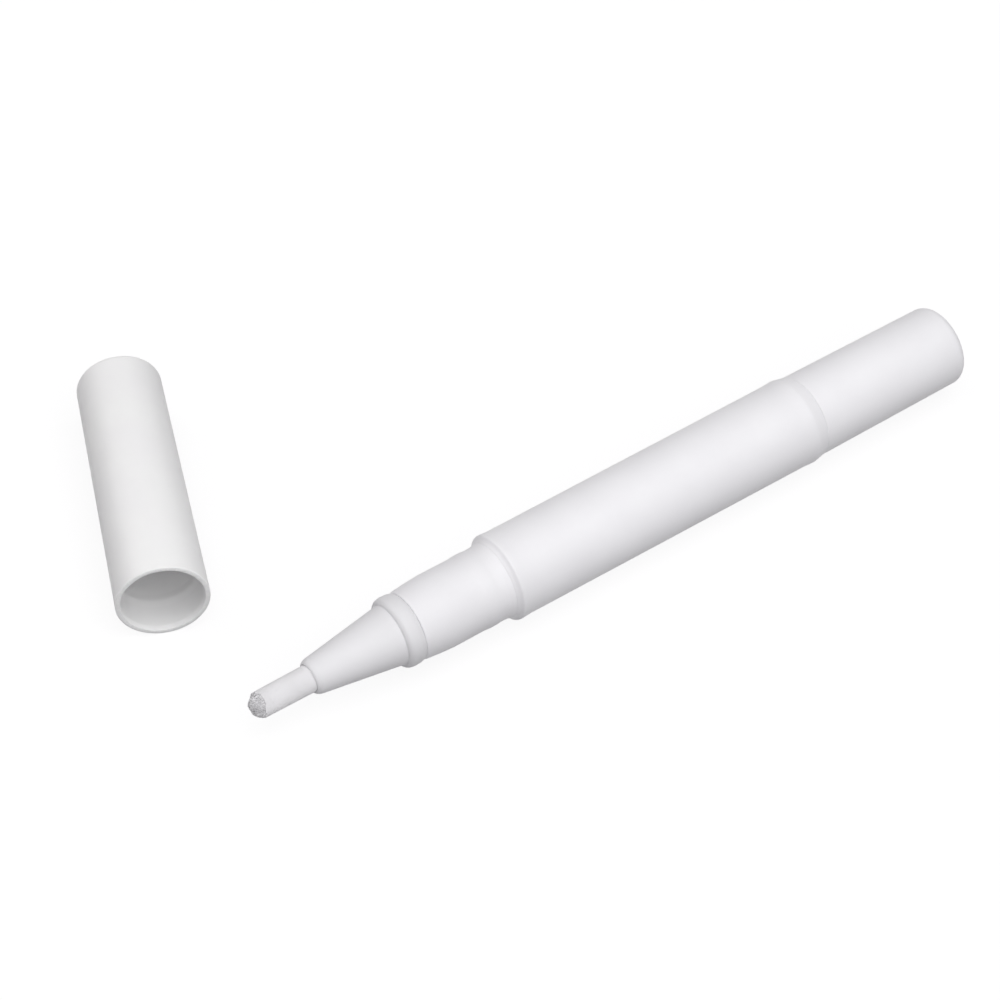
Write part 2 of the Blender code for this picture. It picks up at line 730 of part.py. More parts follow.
def make_nut(pen):
    lip_radius = journal_radius + 2 * RUN_GAP
    bar_radius = root_radius / 2
    points = [
        (nut_front, bar_radius),
        (nut_front, nut_radius),
        (nut_rear, nut_radius),
        (nut_rear, lip_radius),
        (nut_rear - NUT_LIP_THICKNESS, lip_radius),
        (nut_rear - NUT_LIP_THICKNESS, skirt_radius),
        (web_rear, skirt_radius),
        (web_rear, bar_radius),
    ]
    nut = finish(turned("thread_nut", points, INNER_SEGMENTS), pen, (0.84, 0.84, 0.82), 0.4)
    inner = journal_radius + RUN_GAP
    outer = collar_radius
    teeth = toothed_ring(inner, outer, web_rear - TOOTH_HEIGHT, web_rear - PRESS_GAP, nut_tooth_tip)
    combine(nut, make_cutter("nut_teeth", teeth), "UNION")
    start = nut_front - CUT_OVERRUN
    end = web_rear + CUT_OVERRUN
    tap = thread_mesh(start, end, root_radius + RUN_GAP, rod_radius + RUN_GAP, RUN_GAP)
    combine(nut, make_cutter("nut_thread", tap), "DIFFERENCE")


def make_click(pen):
    inner = rod_radius
    ring_mesh = toothed_ring(inner, collar_radius, ring_back, ring_body_front, ring_tooth_tip)
    ring = finish(add_object("click_ring", ring_mesh, PIECES), pen, (0.80, 0.80, 0.78), 0.4)
    start = ring_tooth_tip - CUT_OVERRUN
    end = ring_back + CUT_OVERRUN
    key = flatted_bar(journal_radius + RUN_GAP, journal_flat + RUN_GAP, start, end)
    combine(ring, make_cutter("click_ring_key", key), "DIFFERENCE")
    make_spring(pen)


def make_spring(pen):
    """A short coil round the drive sleeve that presses the click ring on the nut."""
    coil_radius = (journal_radius + skirt_radius) / 2
    start = ring_back + RUN_GAP + SPRING_WIRE_RADIUS
    end = collar_front - RUN_GAP - SPRING_WIRE_RADIUS
    count = SPRING_TURNS * SPRING_POINTS_PER_TURN
    curve = bpy.data.curves.new("click_spring", "CURVE")
    curve.dimensions = "3D"
    curve.bevel_depth = SPRING_WIRE_RADIUS
    curve.bevel_resolution = 1
    curve.use_fill_caps = True
    spline = curve.splines.new("POLY")
    spline.points.add(count)
    for index, point in enumerate(spline.points):
        angle = 2 * math.pi * index / SPRING_POINTS_PER_TURN
        along = start + (end - start) * index / count
        point.co = (along, coil_radius * math.cos(angle), coil_radius * math.sin(angle), 1.0)
    spring = bpy.data.objects.new("click_spring", curve)
    PIECES.objects.link(spring)
    finish(spring, pen, (0.62, 0.62, 0.64), 0.25, metallic=1.0)


def make_sleeve(pen):
    points = [
        (collar_front, sleeve_bore / 2),
        (collar_front, collar_radius),
        (collar_rear, collar_radius),
        (collar_rear, journal_radius),
        (flange_front, journal_radius),
        (flange_front, knob_bore - PRESS_GAP),
        (flange_rear, knob_bore - PRESS_GAP),
        (flange_rear, journal_radius),
        (sleeve_rear, journal_radius),
        (sleeve_rear, sleeve_bore / 2),
    ]
    sleeve = finish(turned("drive_sleeve", points, INNER_SEGMENTS), pen, (0.84, 0.84, 0.84), 0.4)
    journal = flatted_bar(journal_radius, journal_flat, sleeve_front, (collar_front + collar_rear) / 2)
    combine(sleeve, make_cutter("sleeve_journal", journal), "UNION")
    key = flatted_bar(sleeve_bore, sleeve_flat, sleeve_front - CUT_OVERRUN, sleeve_rear + CUT_OVERRUN)
    combine(sleeve, make_cutter("sleeve_key", key), "DIFFERENCE")


def make_knob(pen):
    edge = min(KNOB_END_EDGE, KNOB_WALL)
    end_radius = knob_radius - KNOB_TAPER
    socket_bore = journal_radius + PRESS_GAP
    socket = socket_bore + KNOB_SOCKET_WALL
    points = [(knob_floor, 0.0), (knob_floor, socket_bore)]
    points += [
        (knob_floor - KNOB_SOCKET_DEPTH, socket_bore),
        (knob_floor - KNOB_SOCKET_DEPTH, socket),
        (knob_floor, socket),
        (knob_floor, knob_bore),
        (knob_front, knob_bore),
        (knob_front, knob_radius - KNOB_FRONT_EDGE),
        (knob_front + KNOB_FRONT_EDGE, knob_radius),
    ]
    points += arc((knob_rear - edge, end_radius - edge), edge, 90, 0)
    points.append((knob_rear, 0.0))
    finish(turned("knob_shell", points, SHELL_SEGMENTS, closed=False), pen, (0.90, 0.90, 0.92), 0.38)


def make_cap(cap):
    edge = min(CAP_END_EDGE, CAP_END_WALL)
    end_radius = cap_outer_at(cap_length)
    deep_bore = cap_outer_at(liner_front) - CAP_DEEP_WALL
    floor_bore = cap_outer_at(cap_depth) - CAP_DEEP_WALL
    bead_start = SNAP_SETBACK + SNAP_LENGTH + RUN_GAP
    points = [
        (cap_depth, 0.0),
        (cap_depth, floor_bore),
        (liner_front, deep_bore),
        (liner_front - RUN_GAP, cap_bore - CAP_TAPER / 2),
        (bead_start + CAP_BEAD_LENGTH, cap_bore),
        (bead_start + CAP_BEAD_LENGTH / 2, cap_bore - CAP_BEAD_HEIGHT),
        (bead_start, cap_bore),
        (CAP_LEAD_LENGTH, cap_bore),
        (0.0, cap_bore + CAP_LEAD_IN),
        (0.0, cap_radius),
    ]
    points += arc((cap_length - edge, end_radius - edge), edge, 90, 0)
    points.append((cap_length, 0.0))
    finish(turned("cap_shell", points, SHELL_SEGMENTS, closed=False), cap, (0.90, 0.90, 0.92), 0.38)
    make_liner(cap)


def make_liner(cap):
    """A soft cup whose mouth seats on the nozzle's cone when the cap is on."""
    front = liner_front + RUN_GAP
    collar_end = front + LINER_COLLAR_LENGTH
    collar_start_radius = cap_outer_at(front) - CAP_DEEP_WALL - PRESS_GAP
    collar_end_radius = cap_outer_at(collar_end) - CAP_DEEP_WALL - PRESS_GAP
    seat_end = front + LINER_SEAT_LENGTH
    mouth_depth = -mouth + LINER_CLEARANCE
    mouth_bore = nozzle_radius_at(mouth) + LINER_CLEARANCE
    rear = cap_depth - RUN_GAP
    body_start = nozzle_radius_at(-collar_end) + LINER_CLEARANCE + LINER_WALL
    points = [
        (rear - LINER_END_WALL, 0.0),
        (rear - LINER_END_WALL, mouth_bore),
        (mouth_depth, mouth_bore),
        (seat_end + LINER_SEAT_LENGTH / 2, nozzle_radius_at(-seat_end) + LINER_CLEARANCE),
        (seat_end, nozzle_radius_at(-seat_end) + PRESS_GAP),
        (front + LINER_SEAT_LENGTH / 3, nozzle_radius_at(-front) + PRESS_GAP),
        (front, nozzle_radius_at(-front) + LINER_CLEARANCE),
        (front, collar_start_radius),
        (collar_end, collar_end_radius),
        (collar_end, body_start),
        (mouth_depth, mouth_bore + LINER_WALL),
        (rear, mouth_bore + LINER_WALL),
        (rear, 0.0),
    ]
    finish(turned("cap_liner", points, INNER_SEGMENTS, closed=False), cap, (0.74, 0.74, 0.76), 0.5)


def pen_place():
    """The pen frame's place that puts the world's origin under the middle of the pair."""
    forward = Vector((math.cos(CAP_AZIMUTH), math.sin(CAP_AZIMUTH)))
    sideways = Vector((forward.y, -forward.x))
    cap_mouth = Vector((-CAP_AHEAD, CAP_ASIDE))
    edge = min(CAP_END_EDGE, CAP_END_WALL)
    corner = cap_mouth + forward * (cap_length - edge)
    corner -= sideways * (cap_outer_at(cap_length) - edge)
    low_x = min(tuft_tip, cap_mouth.x - sideways.x * cap_radius)
    high_x = knob_rear
    low_y = -barrel_lip_radius
    high_y = corner.y + edge
    return Vector((-(low_x + high_x) / 2, -(low_y + high_y) / 2, barrel_lip_radius))


clear_scene()
PIECES = new_collection("nail_treatment_pen")
CUTTERS = new_collection("cutters")
pen_origin = pen_place()
pen_frame = new_empty("pen_frame", pen_origin, (0.0, 0.0, 0.0))
cap_height = cap_radius * math.cos(cap_tilt)
cap_origin = (pen_origin.x - CAP_AHEAD, pen_origin.y + CAP_ASIDE, cap_height)
cap_frame = new_empty("cap_frame", cap_origin, (0.0, cap_tilt, CAP_AZIMUTH))

make_barrel(pen_frame)
make_neck(pen_frame)
make_nozzle(pen_frame)
make_brush(pen_frame)
make_piston(pen_frame)
make_rod(pen_frame)
make_nut(pen_frame)
make_click(pen_frame)
make_sleeve(pen_frame)
make_knob(pen_frame)
make_cap(cap_frame)
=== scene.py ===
"""A nail treatment pen with a twist-up brush, lying uncapped beside its cap.

The pen lies along X with its brush towards -X. The cap lies on its +Y side, with its
mouth towards the camera. Lengths are in metres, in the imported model's frame, apart from
the outlines of turned shells, which are in millimetres from the barrel's or cap's mouth.
"""
import math

import bmesh
import bpy
from mathutils import Matrix, Vector


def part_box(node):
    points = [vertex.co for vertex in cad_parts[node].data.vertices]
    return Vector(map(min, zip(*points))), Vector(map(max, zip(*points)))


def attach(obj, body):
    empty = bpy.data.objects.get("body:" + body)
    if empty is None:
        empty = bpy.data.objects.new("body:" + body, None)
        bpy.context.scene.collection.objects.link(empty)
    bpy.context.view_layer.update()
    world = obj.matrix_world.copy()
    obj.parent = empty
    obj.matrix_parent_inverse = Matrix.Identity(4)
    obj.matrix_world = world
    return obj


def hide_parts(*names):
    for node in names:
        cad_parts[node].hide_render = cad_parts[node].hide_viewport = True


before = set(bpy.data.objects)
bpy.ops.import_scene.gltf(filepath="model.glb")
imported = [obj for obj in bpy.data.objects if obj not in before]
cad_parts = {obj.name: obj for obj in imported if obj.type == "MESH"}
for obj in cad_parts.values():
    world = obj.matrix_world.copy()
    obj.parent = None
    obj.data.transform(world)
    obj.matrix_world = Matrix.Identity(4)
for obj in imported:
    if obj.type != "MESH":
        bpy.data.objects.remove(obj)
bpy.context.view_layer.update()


# Barrel
# A drafted tube of white polypropylene, moulded in one shot with a satin skin.
# Its front mouth holds the neck's plug, and its rear ramps down to the knob.
# The turning and plastic recipes here also serve the other moulded shells.

MILLIMETRE = 0.001
SHELL_SEGMENTS = 160
FILLET_STEPS = 8
SHARED_EDGE = 0.5
WHOLE_EDGE = 0.98
SHARP_ANGLE = math.radians(38)
AXIS_RADIUS = 1e-6

barrel_low, barrel_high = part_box("barrel")
barrel_middle = (barrel_low + barrel_high) / 2
pen_front = Vector((barrel_low.x, barrel_middle.y, barrel_middle.z))
pen_place = Matrix.Translation(pen_front)


def filleted(corners, closed):
    """Round the corners (along, radius, fillet), in millimetres, of a section's outline."""
    outline = []
    for index, (along, radius, fillet) in enumerate(corners):
        here = Vector((along, radius))
        at_end = not closed and index in (0, len(corners) - 1)
        if at_end or not fillet:
            outline.append(here)
            continue
        before = corners[index - 1]
        after = corners[(index + 1) % len(corners)]
        back = Vector(before[:2]) - here
        ahead = Vector(after[:2]) - here
        half = back.angle(ahead) / 2
        room_back = back.length * (SHARED_EDGE if before[2] else WHOLE_EDGE)
        room_ahead = ahead.length * (SHARED_EDGE if after[2] else WHOLE_EDGE)
        reach = min(fillet / math.tan(half), room_back, room_ahead)
        bisector = (back.normalized() + ahead.normalized()).normalized()
        centre = here + bisector * reach / math.cos(half)
        start = here + back.normalized() * reach - centre
        end = here + ahead.normalized() * reach - centre
        sweep = start.angle_signed(end)
        for step in range(FILLET_STEPS + 1):
            outline.append(centre + Matrix.Rotation(-sweep * step / FILLET_STEPS, 2) @ start)
    return outline


def turned(name, corners, place, material, closed=True):
    """A shell turned about its own X axis from an outline of corners in millimetres."""
    outline = filleted(corners, closed)
    angles = [2 * math.pi * step / SHELL_SEGMENTS for step in range(SHELL_SEGMENTS)]
    spokes = [(math.cos(angle), math.sin(angle)) for angle in angles]
    bm = bmesh.new()
    rings = []
    for along, radius in outline:
        if radius < AXIS_RADIUS:
            rings.append([bm.verts.new((along, 0.0, 0.0))])
            continue
        rings.append([bm.verts.new((along, radius * across, radius * up)) for across, up in spokes])
    pairs = list(zip(rings, rings[1:] + rings[:1]))
    for first, second in pairs if closed else pairs[:-1]:
        for step in range(SHELL_SEGMENTS):
            following = (step + 1) % SHELL_SEGMENTS
            if len(first) == 1:
                bm.faces.new((first[0], second[step], second[following]))
            elif len(second) == 1:
                bm.faces.new((first[step], second[0], first[following]))
            else:
                bm.faces.new((first[step], second[step], second[following], first[following]))
    bmesh.ops.recalc_face_normals(bm, faces=bm.faces[:])
    mesh = bpy.data.meshes.new(name)
    bm.to_mesh(mesh)
    bm.free()
    mesh.transform(place @ Matrix.Scale(MILLIMETRE, 4))
    mesh.shade_smooth()
    mesh.set_sharp_from_angle(angle=SHARP_ANGLE)
    mesh.materials.append(material)
    shell = bpy.data.objects.new(name, mesh)
    bpy.context.scene.collection.objects.link(shell)
    return shell


def add_node(tree, kind, sockets=None, **settings):
    """Add a node, set its options, and give each named input a value or a link."""
    node = tree.nodes.new(kind)
    for option, value in settings.items():
        setattr(node, option, value)
    for key, value in (sockets or {}).items():
        if isinstance(value, bpy.types.NodeSocket):
            tree.links.new(value, node.inputs[key])
        else:
            node.inputs[key].default_value = value
    return node


MILKY_DEPTH = 0.0008
GRAIN_PER_METRE = 4200.0
CLOUDS_PER_METRE = 170.0
STREAKS_PER_METRE = 1600.0
STREAK_STRETCH = 0.04
CLOUD_DULLNESS = 0.5
STREAK_DULLNESS = 0.5
STREAK_HEIGHT = 0.6
GLOSS_SPREAD = 0.06
GLOSS_LEVEL = 0.45
GRAIN_STRENGTH = 0.6
CLOUD_RANGE = {"From Min": 0.35, "From Max": 0.65}


def moulded_surface_group():
    """What a mould leaves on plastic: fine spark-eroded grain, faint clouds and drawn streaks."""
    group = bpy.data.node_groups.new("moulded_surface", "ShaderNodeTree")
    inputs = (("Vector", "NodeSocketVector"), ("Grain per metre", "NodeSocketFloat"),
              ("Clouds per metre", "NodeSocketFloat"), ("Streaks per metre", "NodeSocketFloat"))
    for name, kind in inputs:
        group.interface.new_socket(name=name, in_out="INPUT", socket_type=kind)
    for name in ("Cloud", "Dullness", "Height"):
        group.interface.new_socket(name=name, in_out="OUTPUT", socket_type="NodeSocketFloat")
    given = add_node(group, "NodeGroupInput").outputs

    def noise(place, scale, detail, roughness):
        return add_node(group, "ShaderNodeTexNoise", {
            "Vector": place, "Scale": given[scale],
            "Detail": detail, "Roughness": roughness}).outputs[0]

    def share_added(value, share, base):
        return add_node(group, "ShaderNodeMath", {0: value, 1: share, 2: base},
                        operation="MULTIPLY_ADD").outputs[0]

    drawn_out = add_node(group, "ShaderNodeVectorMath", {
        0: given["Vector"], 1: (STREAK_STRETCH, 1.0, 1.0)}, operation="MULTIPLY").outputs[0]
    grain = noise(given["Vector"], "Grain per metre", 2.0, 0.5)
    cloud = noise(given["Vector"], "Clouds per metre", 3.0, 0.55)
    streak = noise(drawn_out, "Streaks per metre", 2.0, 0.5)
    dullness = share_added(cloud, CLOUD_DULLNESS, share_added(streak, STREAK_DULLNESS, 0.0))
    height = share_added(streak, STREAK_HEIGHT, grain)
    add_node(group, "NodeGroupOutput", {"Cloud": cloud, "Dullness": dullness, "Height": height})
    return group


MOULDED_SURFACE = moulded_surface_group()


def moulded_plastic(name, colour, shade, roughness, turn=0.0, grain_height=0.000004,
                    milkiness=0.0):
    """A plastic between two near colours, whose streaks run along an axis turned about Z."""
    material = bpy.data.materials.new(name)
    material.use_nodes = True
    tree = material.node_tree
    shader = tree.nodes["Principled BSDF"]
    place = add_node(tree, "ShaderNodeTexCoord")
    mapping = add_node(tree, "ShaderNodeMapping", {
        "Vector": place.outputs["Object"], "Rotation": (0.0, 0.0, -turn)})
    surface = add_node(tree, "ShaderNodeGroup", node_tree=MOULDED_SURFACE)
    tree.links.new(mapping.outputs[0], surface.inputs["Vector"])
    surface.inputs["Grain per metre"].default_value = GRAIN_PER_METRE
    surface.inputs["Clouds per metre"].default_value = CLOUDS_PER_METRE
    surface.inputs["Streaks per metre"].default_value = STREAKS_PER_METRE
    tone = add_node(tree, "ShaderNodeMapRange", {"Value": surface.outputs["Cloud"], **CLOUD_RANGE})
    # A Mix node keeps its two colours in sockets 6 and 7, and gives the mixed one out of 2.
    mix = add_node(tree, "ShaderNodeMix", {
        0: tone.outputs[0], 6: (*colour, 1.0), 7: (*shade, 1.0)}, data_type="RGBA")
    tree.links.new(mix.outputs[2], shader.inputs["Base Color"])
    gloss = add_node(tree, "ShaderNodeMapRange", {
        "Value": surface.outputs["Dullness"], **CLOUD_RANGE,
        "To Min": roughness - GLOSS_SPREAD, "To Max": roughness + GLOSS_SPREAD})
    tree.links.new(gloss.outputs[0], shader.inputs["Roughness"])
    bump = add_node(tree, "ShaderNodeBump", {
        "Strength": GRAIN_STRENGTH, "Distance": grain_height, "Height": surface.outputs["Height"]})
    tree.links.new(bump.outputs[0], shader.inputs["Normal"])
    shader.inputs["Specular IOR Level"].default_value = GLOSS_LEVEL
    shader.inputs["Subsurface Weight"].default_value = milkiness
    shader.inputs["Subsurface Radius"].default_value = (1.0, 1.0, 1.0)
    shader.inputs["Subsurface Scale"].default_value = MILKY_DEPTH
    return material


SHELL_WHITE = (0.875, 0.867, 0.893)
SHELL_SHADE = (0.855, 0.846, 0.873)
shell_plastic = moulded_plastic("white_shell_plastic", SHELL_WHITE, SHELL_SHADE, 0.45)

barrel = turned("barrel_tube", [
    (0.0, 4.35, 0.0), (0.0, 4.93, 0.0), (0.30, 5.14, 1.2), (0.64, 5.58, 0.6), (1.0, 5.58, 1.0),
    (2.17, 5.50, 4.0), (43.5, 5.55, 4.0), (44.8, 5.63, 2.0), (45.1, 5.63, 1.0),
    (46.6, 5.32, 0.03), (46.6, 4.45, 0.05), (36.9, 4.45, 0.0), (36.9, 4.35, 0.0)],
    pen_place, shell_plastic)
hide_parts("barrel")
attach(barrel, "pen")


# Neck insert
# The neck is pressed into the barrel's mouth. It is a harder white plastic, drafted towards
# the nozzle, with the low swell that the cap's bead snaps over and a groove for its seal.

neck_plastic = moulded_plastic(
    "white_neck_plastic", (0.86, 0.852, 0.878), (0.84, 0.83, 0.857), 0.5)

neck = turned("neck_collar", [
    (-4.35, 2.90, 0.0), (-4.35, 1.20, 0.05), (-5.55, 1.20, 0.05), (-5.55, 3.62, 0.0),
    (-12.45, 3.62, 0.05), (-12.45, 4.30, 0.05), (-12.05, 4.455, 0.8), (-9.96, 4.654, 30.0),
    (-8.34, 4.75, 30.0), (-3.9, 4.725, 4.0), (-3.35, 4.80, 4.0), (-2.25, 4.80, 4.0),
    (-1.7, 4.725, 4.0), (-0.70, 4.76, 1.5), (-0.02, 4.92, 0.0), (-0.02, 4.30, 0.0),
    (2.495, 4.30, 0.0), (2.495, 3.59, 0.0), (3.355, 3.59, 0.0), (3.355, 4.30, 0.0),
    (5.80, 4.30, 0.2), (6.50, 3.95, 0.1), (6.50, 2.90, 0.1)], pen_place, neck_plastic)
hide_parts("neck_insert")
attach(neck, "pen")


# Nozzle cone
# One moulding of a slightly duller white plastic: a plump ring, a long drafted cone and a
# spigot that is pressed into the neck. The brush stands out of the hole in its rounded nose.

nozzle_plastic = moulded_plastic(
    "white_nozzle_plastic", (0.79, 0.783, 0.806), (0.77, 0.763, 0.786), 0.52)

nozzle = turned("nozzle_shell", [
    (-23.73, 2.10, 0.0), (-23.73, 1.85, 0.0), (-25.2, 1.85, 0.0), (-26.23, 1.73, 0.03),
    (-26.23, 1.90, 0.04), (-26.083, 2.066, 0.2), (-25.887, 2.178, 0.3), (-25.691, 2.253, 0.4),
    (-25.53, 2.291, 1.0), (-14.83, 3.83, 0.4), (-14.81, 4.08, 0.3), (-14.50, 4.42, 0.6),
    (-13.95, 4.53, 1.5), (-13.15, 4.51, 1.5), (-12.70, 4.40, 0.6), (-12.47, 4.26, 0.08),
    (-12.47, 3.57, 0.0), (-5.65, 3.57, 0.2), (-5.65, 2.10, 0.0)], pen_place, nozzle_plastic)
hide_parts("nozzle_cone")
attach(nozzle, "pen")


# Brush
# A round tuft of 685 nylon filaments, fused at the root to a disc inside the nozzle. They
# lean a little, draw in towards the tip, and are trimmed to a ragged dome.

TUFT_RADIUS = 0.00175
TUFT_TIP = -0.03433
TUFT_ROOT = -0.02193
FILAMENT_RADIUS = 0.000056
FILAMENT_SPACING = 0.000088
FILAMENT_SIDES = 6
FILAMENT_POINTS = 7
FILAMENT_SHARP_ANGLE = math.radians(70)
DISC_SIDES = 96
ROOT_DENSITY = 4.0e8
TIP_THINNING = 0.15
THINNING_POWER = 8.0
DOME_POWER = 2.8
TRIM_POWER = 2.0
BEND_POWER = 3.0
CLUMP_RANGE = {"From Min": 0.38, "From Max": 0.62}


def tuft_tree():
    """Filaments that grow along Z from roots scattered on a disc, with a domed and ragged end."""
    tree = bpy.data.node_groups.new("bristle_tuft", "GeometryNodeTree")
    lengths = ("Tuft radius", "Filament radius", "Filament spacing", "Length", "Dome drop",
               "Raggedness", "Lean", "Taper", "Clumps per metre", "Clump depth")
    inputs = [(name, "NodeSocketFloat") for name in lengths]
    inputs += [("Seed", "NodeSocketInt"), ("Root place", "NodeSocketVector"),
               ("Filament material", "NodeSocketMaterial")]
    for name, kind in inputs:
        tree.interface.new_socket(name=name, in_out="INPUT", socket_type=kind)
    tree.interface.new_socket(name="Tuft", in_out="OUTPUT", socket_type="NodeSocketGeometry")
    given = add_node(tree, "NodeGroupInput").outputs

    def calculated(operation, *values):
        return add_node(tree, "ShaderNodeMath", dict(enumerate(values)),
                        operation=operation).outputs[0]

    def added(first, second):
        return add_node(tree, "ShaderNodeVectorMath", {0: first, 1: second},
                        operation="ADD").outputs[0]

    def scaled(vector, factor):
        return add_node(tree, "ShaderNodeVectorMath", {0: vector, "Scale": factor},
                        operation="SCALE").outputs[0]

    def random_value(low, high, seed):
        return add_node(tree, "FunctionNodeRandomValue", {2: low, 3: high, "Seed": seed}).outputs[1]

    def store(geometry, name, value, kind):
        return add_node(tree, "GeometryNodeStoreNamedAttribute", {
            "Geometry": geometry, "Name": name, "Value": value},
            data_type=kind, domain="POINT").outputs[0]

    def read(name, kind):
        return add_node(tree, "GeometryNodeInputNamedAttribute", {"Name": name},
                        data_type=kind).outputs[0]

    rim_radius = calculated("SUBTRACT", given["Tuft radius"], given["Filament radius"])
    rim_length = calculated("MULTIPLY", rim_radius, 2 * math.pi)
    rim_count = calculated("DIVIDE", rim_length, given["Filament spacing"])
    rim = add_node(tree, "GeometryNodeMeshCircle", {"Vertices": rim_count, "Radius": rim_radius})
    rim_roots = add_node(tree, "GeometryNodeMeshToPoints", {"Mesh": rim.outputs[0]})
    disc_radius = calculated("SUBTRACT", rim_radius, given["Filament spacing"])
    disc = add_node(tree, "GeometryNodeMeshCircle", {
        "Vertices": DISC_SIDES, "Radius": disc_radius}, fill_type="NGON")
    disc_roots = add_node(tree, "GeometryNodeDistributePointsOnFaces", {
        "Mesh": disc.outputs[0], "Distance Min": given["Filament spacing"],
        "Density Max": ROOT_DENSITY, "Density Factor": 1.0, "Seed": given["Seed"]},
        distribute_method="POISSON")
    roots = add_node(tree, "GeometryNodeJoinGeometry")
    for part in (disc_roots, rim_roots):
        tree.links.new(part.outputs[0], roots.inputs[0])
    place = add_node(tree, "GeometryNodeInputPosition").outputs[0]
    lean_x = random_value(-1.0, 1.0, 1)
    lean_y = random_value(-1.0, 1.0, 2)
    lean = add_node(tree, "ShaderNodeCombineXYZ", {"X": lean_x, "Y": lean_y}).outputs[0]
    points = store(roots.outputs[0], "root", place, "FLOAT_VECTOR")
    points = store(points, "lean", lean, "FLOAT_VECTOR")
    points = store(points, "trim", random_value(0.0, 1.0, 3), "FLOAT")
    line = add_node(tree, "GeometryNodeCurvePrimitiveLine", {"End": (0.0, 0.0, 1.0)})
    strand = add_node(tree, "GeometryNodeResampleCurve", {
        "Curve": line.outputs[0], "Count": FILAMENT_POINTS})
    placed = add_node(tree, "GeometryNodeInstanceOnPoints", {
        "Points": points, "Instance": strand.outputs[0]})
    strands = add_node(tree, "GeometryNodeRealizeInstances", {"Geometry": placed.outputs[0]})

    factor = add_node(tree, "GeometryNodeSplineParameter").outputs["Factor"]
    root = read("root", "FLOAT_VECTOR")
    distance = add_node(tree, "ShaderNodeVectorMath", {0: root},
                        operation="LENGTH").outputs["Value"]
    outward = calculated("DIVIDE", distance, given["Tuft radius"])
    dome = calculated("MULTIPLY", calculated("POWER", outward, DOME_POWER), given["Dome drop"])
    trim = calculated("POWER", read("trim", "FLOAT"), TRIM_POWER)
    ragged = calculated("MULTIPLY", trim, given["Raggedness"])
    clumps = add_node(tree, "ShaderNodeTexNoise", {
        "Vector": root, "Scale": given["Clumps per metre"], "Detail": 1.0}).outputs[0]
    clump = add_node(tree, "ShaderNodeMapRange", {"Value": clumps, **CLUMP_RANGE}).outputs[0]
    notch = calculated("MULTIPLY", calculated("MULTIPLY", clump, outward), given["Clump depth"])
    domed = calculated("SUBTRACT", given["Length"], dome)
    length = calculated("SUBTRACT", calculated("SUBTRACT", domed, ragged), notch)
    height = calculated("MULTIPLY", factor, length)
    bend = calculated("MULTIPLY", calculated("POWER", factor, BEND_POWER), given["Lean"])
    sway = scaled(read("lean", "FLOAT_VECTOR"), bend)
    narrowing = calculated("SUBTRACT", 1.0, calculated("MULTIPLY", factor, given["Taper"]))
    base = added(scaled(root, narrowing), sway)
    lift = add_node(tree, "ShaderNodeCombineXYZ", {"Z": height}).outputs[0]
    shaped = add_node(tree, "GeometryNodeSetPosition", {
        "Geometry": strands.outputs[0], "Position": added(base, lift)})
    tip = calculated("POWER", factor, THINNING_POWER)
    thickness = calculated("SUBTRACT", 1.0, calculated("MULTIPLY", tip, TIP_THINNING))
    section = add_node(tree, "GeometryNodeCurvePrimitiveCircle", {
        "Resolution": FILAMENT_SIDES, "Radius": given["Filament radius"]})
    skin = add_node(tree, "GeometryNodeCurveToMesh", {
        "Curve": shaped.outputs[0], "Profile Curve": section.outputs[0],
        "Scale": thickness, "Fill Caps": True})
    turned_tuft = add_node(tree, "GeometryNodeTransform", {
        "Geometry": skin.outputs[0], "Translation": given["Root place"],
        "Rotation": (0.0, -math.pi / 2, 0.0)})
    real = add_node(tree, "GeometryNodeRealizeInstances", {"Geometry": turned_tuft.outputs[0]})
    painted = add_node(tree, "GeometryNodeSetMaterial", {
        "Geometry": real.outputs[0], "Material": given["Filament material"]})
    add_node(tree, "NodeGroupOutput", {"Tuft": painted.outputs[0]})
    return tree


def grown(name, tree, values):
    """Run a geometry tree with its named inputs and keep the result as a plain mesh."""
    guide = bpy.data.objects.new(name + "_guide", bpy.data.meshes.new(name + "_guide"))
    bpy.context.scene.collection.objects.link(guide)
    modifier = guide.modifiers.new("grow", "NODES")
    modifier.node_group = tree
    for item in tree.interface.items_tree:
        if item.in_out == "INPUT":
            modifier[item.identifier] = values[item.name]
    view = bpy.context.evaluated_depsgraph_get()
    mesh = bpy.data.meshes.new_from_object(guide.evaluated_get(view))
    bpy.data.objects.remove(guide, do_unlink=True)
    mesh.name = name
    mesh.shade_smooth()
    mesh.set_sharp_from_angle(angle=FILAMENT_SHARP_ANGLE)
    piece = bpy.data.objects.new(name, mesh)
    bpy.context.scene.collection.objects.link(piece)
    return piece


filament_nylon = moulded_plastic(
    "bristle_nylon_white", (0.82, 0.812, 0.83), (0.76, 0.752, 0.77), 0.5, grain_height=0.000002)
tuft = grown("bristle_tuft", tuft_tree(), {
    "Tuft radius": TUFT_RADIUS, "Filament radius": FILAMENT_RADIUS,
    "Filament spacing": FILAMENT_SPACING, "Length": TUFT_ROOT - TUFT_TIP,
    "Dome drop": 0.00105, "Raggedness": 0.00010, "Lean": 0.00003, "Taper": 0.055,
    "Clumps per metre": 900.0, "Clump depth": 0.00050, "Seed": 4,
    "Root place": pen_front + Vector((TUFT_ROOT, 0.0, 0.0)), "Filament material": filament_nylon})
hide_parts("brush_bristles")
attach(tuft, "pen")

backing = turned("bristle_backing", [
    (-21.88, 0.48, 0.0), (-21.88, 1.75, 0.0), (-20.53, 1.75, 0.1), (-20.53, 0.48, 0.0)],
    pen_place, filament_nylon)
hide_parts("brush_bristles")
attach(backing, "pen")


# Knob
# The turning end of the pen: a closed white shell with a well rounded edge, pressed on the
# drive sleeve. It is fed through the middle of its end, which keeps the gate's shallow mark.

